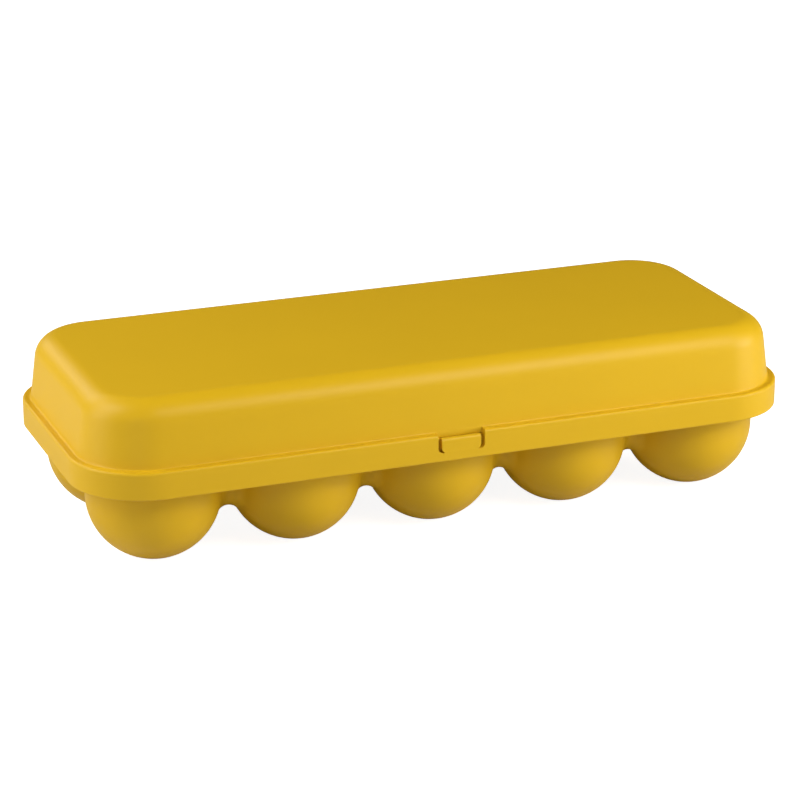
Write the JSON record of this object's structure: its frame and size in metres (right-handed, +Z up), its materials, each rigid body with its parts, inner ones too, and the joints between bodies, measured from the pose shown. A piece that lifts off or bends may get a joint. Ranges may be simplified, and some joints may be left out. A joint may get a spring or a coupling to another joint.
{
  "type": "egg keeper with flip lid",
  "caption": "Moulded egg box: a tray of round cups joined by saddles under a hinged, domed lid with a snap latch in its front rim.",
  "frame": {"origin": "centre of the box's footprint, hinges included, on the table under the cups", "axes": "+X along the box to the right as seen from the latch, +Y towards the hinges, +Z up"},
  "size_m": [0.2704, 0.1204, 0.065],
  "materials": {
    "yellow_plastic": "matte"
  },
  "bodies": {
    "tray": {"tray": "yellow_plastic", "hinge_pin_left": "yellow_plastic", "hinge_pin_right": "yellow_plastic"},
    "lid": {"lid": "yellow_plastic"},
    "latch": {"latch_tongue": "yellow_plastic"}
  },
  "joints": [
    {"name": "lid_hinge", "type": "hinge", "parent": "tray", "child": "lid", "pos_m": [0, 0.05735, 0.0322], "axis": [-1, 0, 0], "range_deg": [0, 175]},
    {"name": "latch_flex", "type": "hinge", "parent": "lid", "child": "latch", "pos_m": [0, -0.0592, 0.0361], "axis": [1, 0, 0], "range_deg": [0, 14], "stiffness_Nm_per_rad": 0.08}
  ]
}
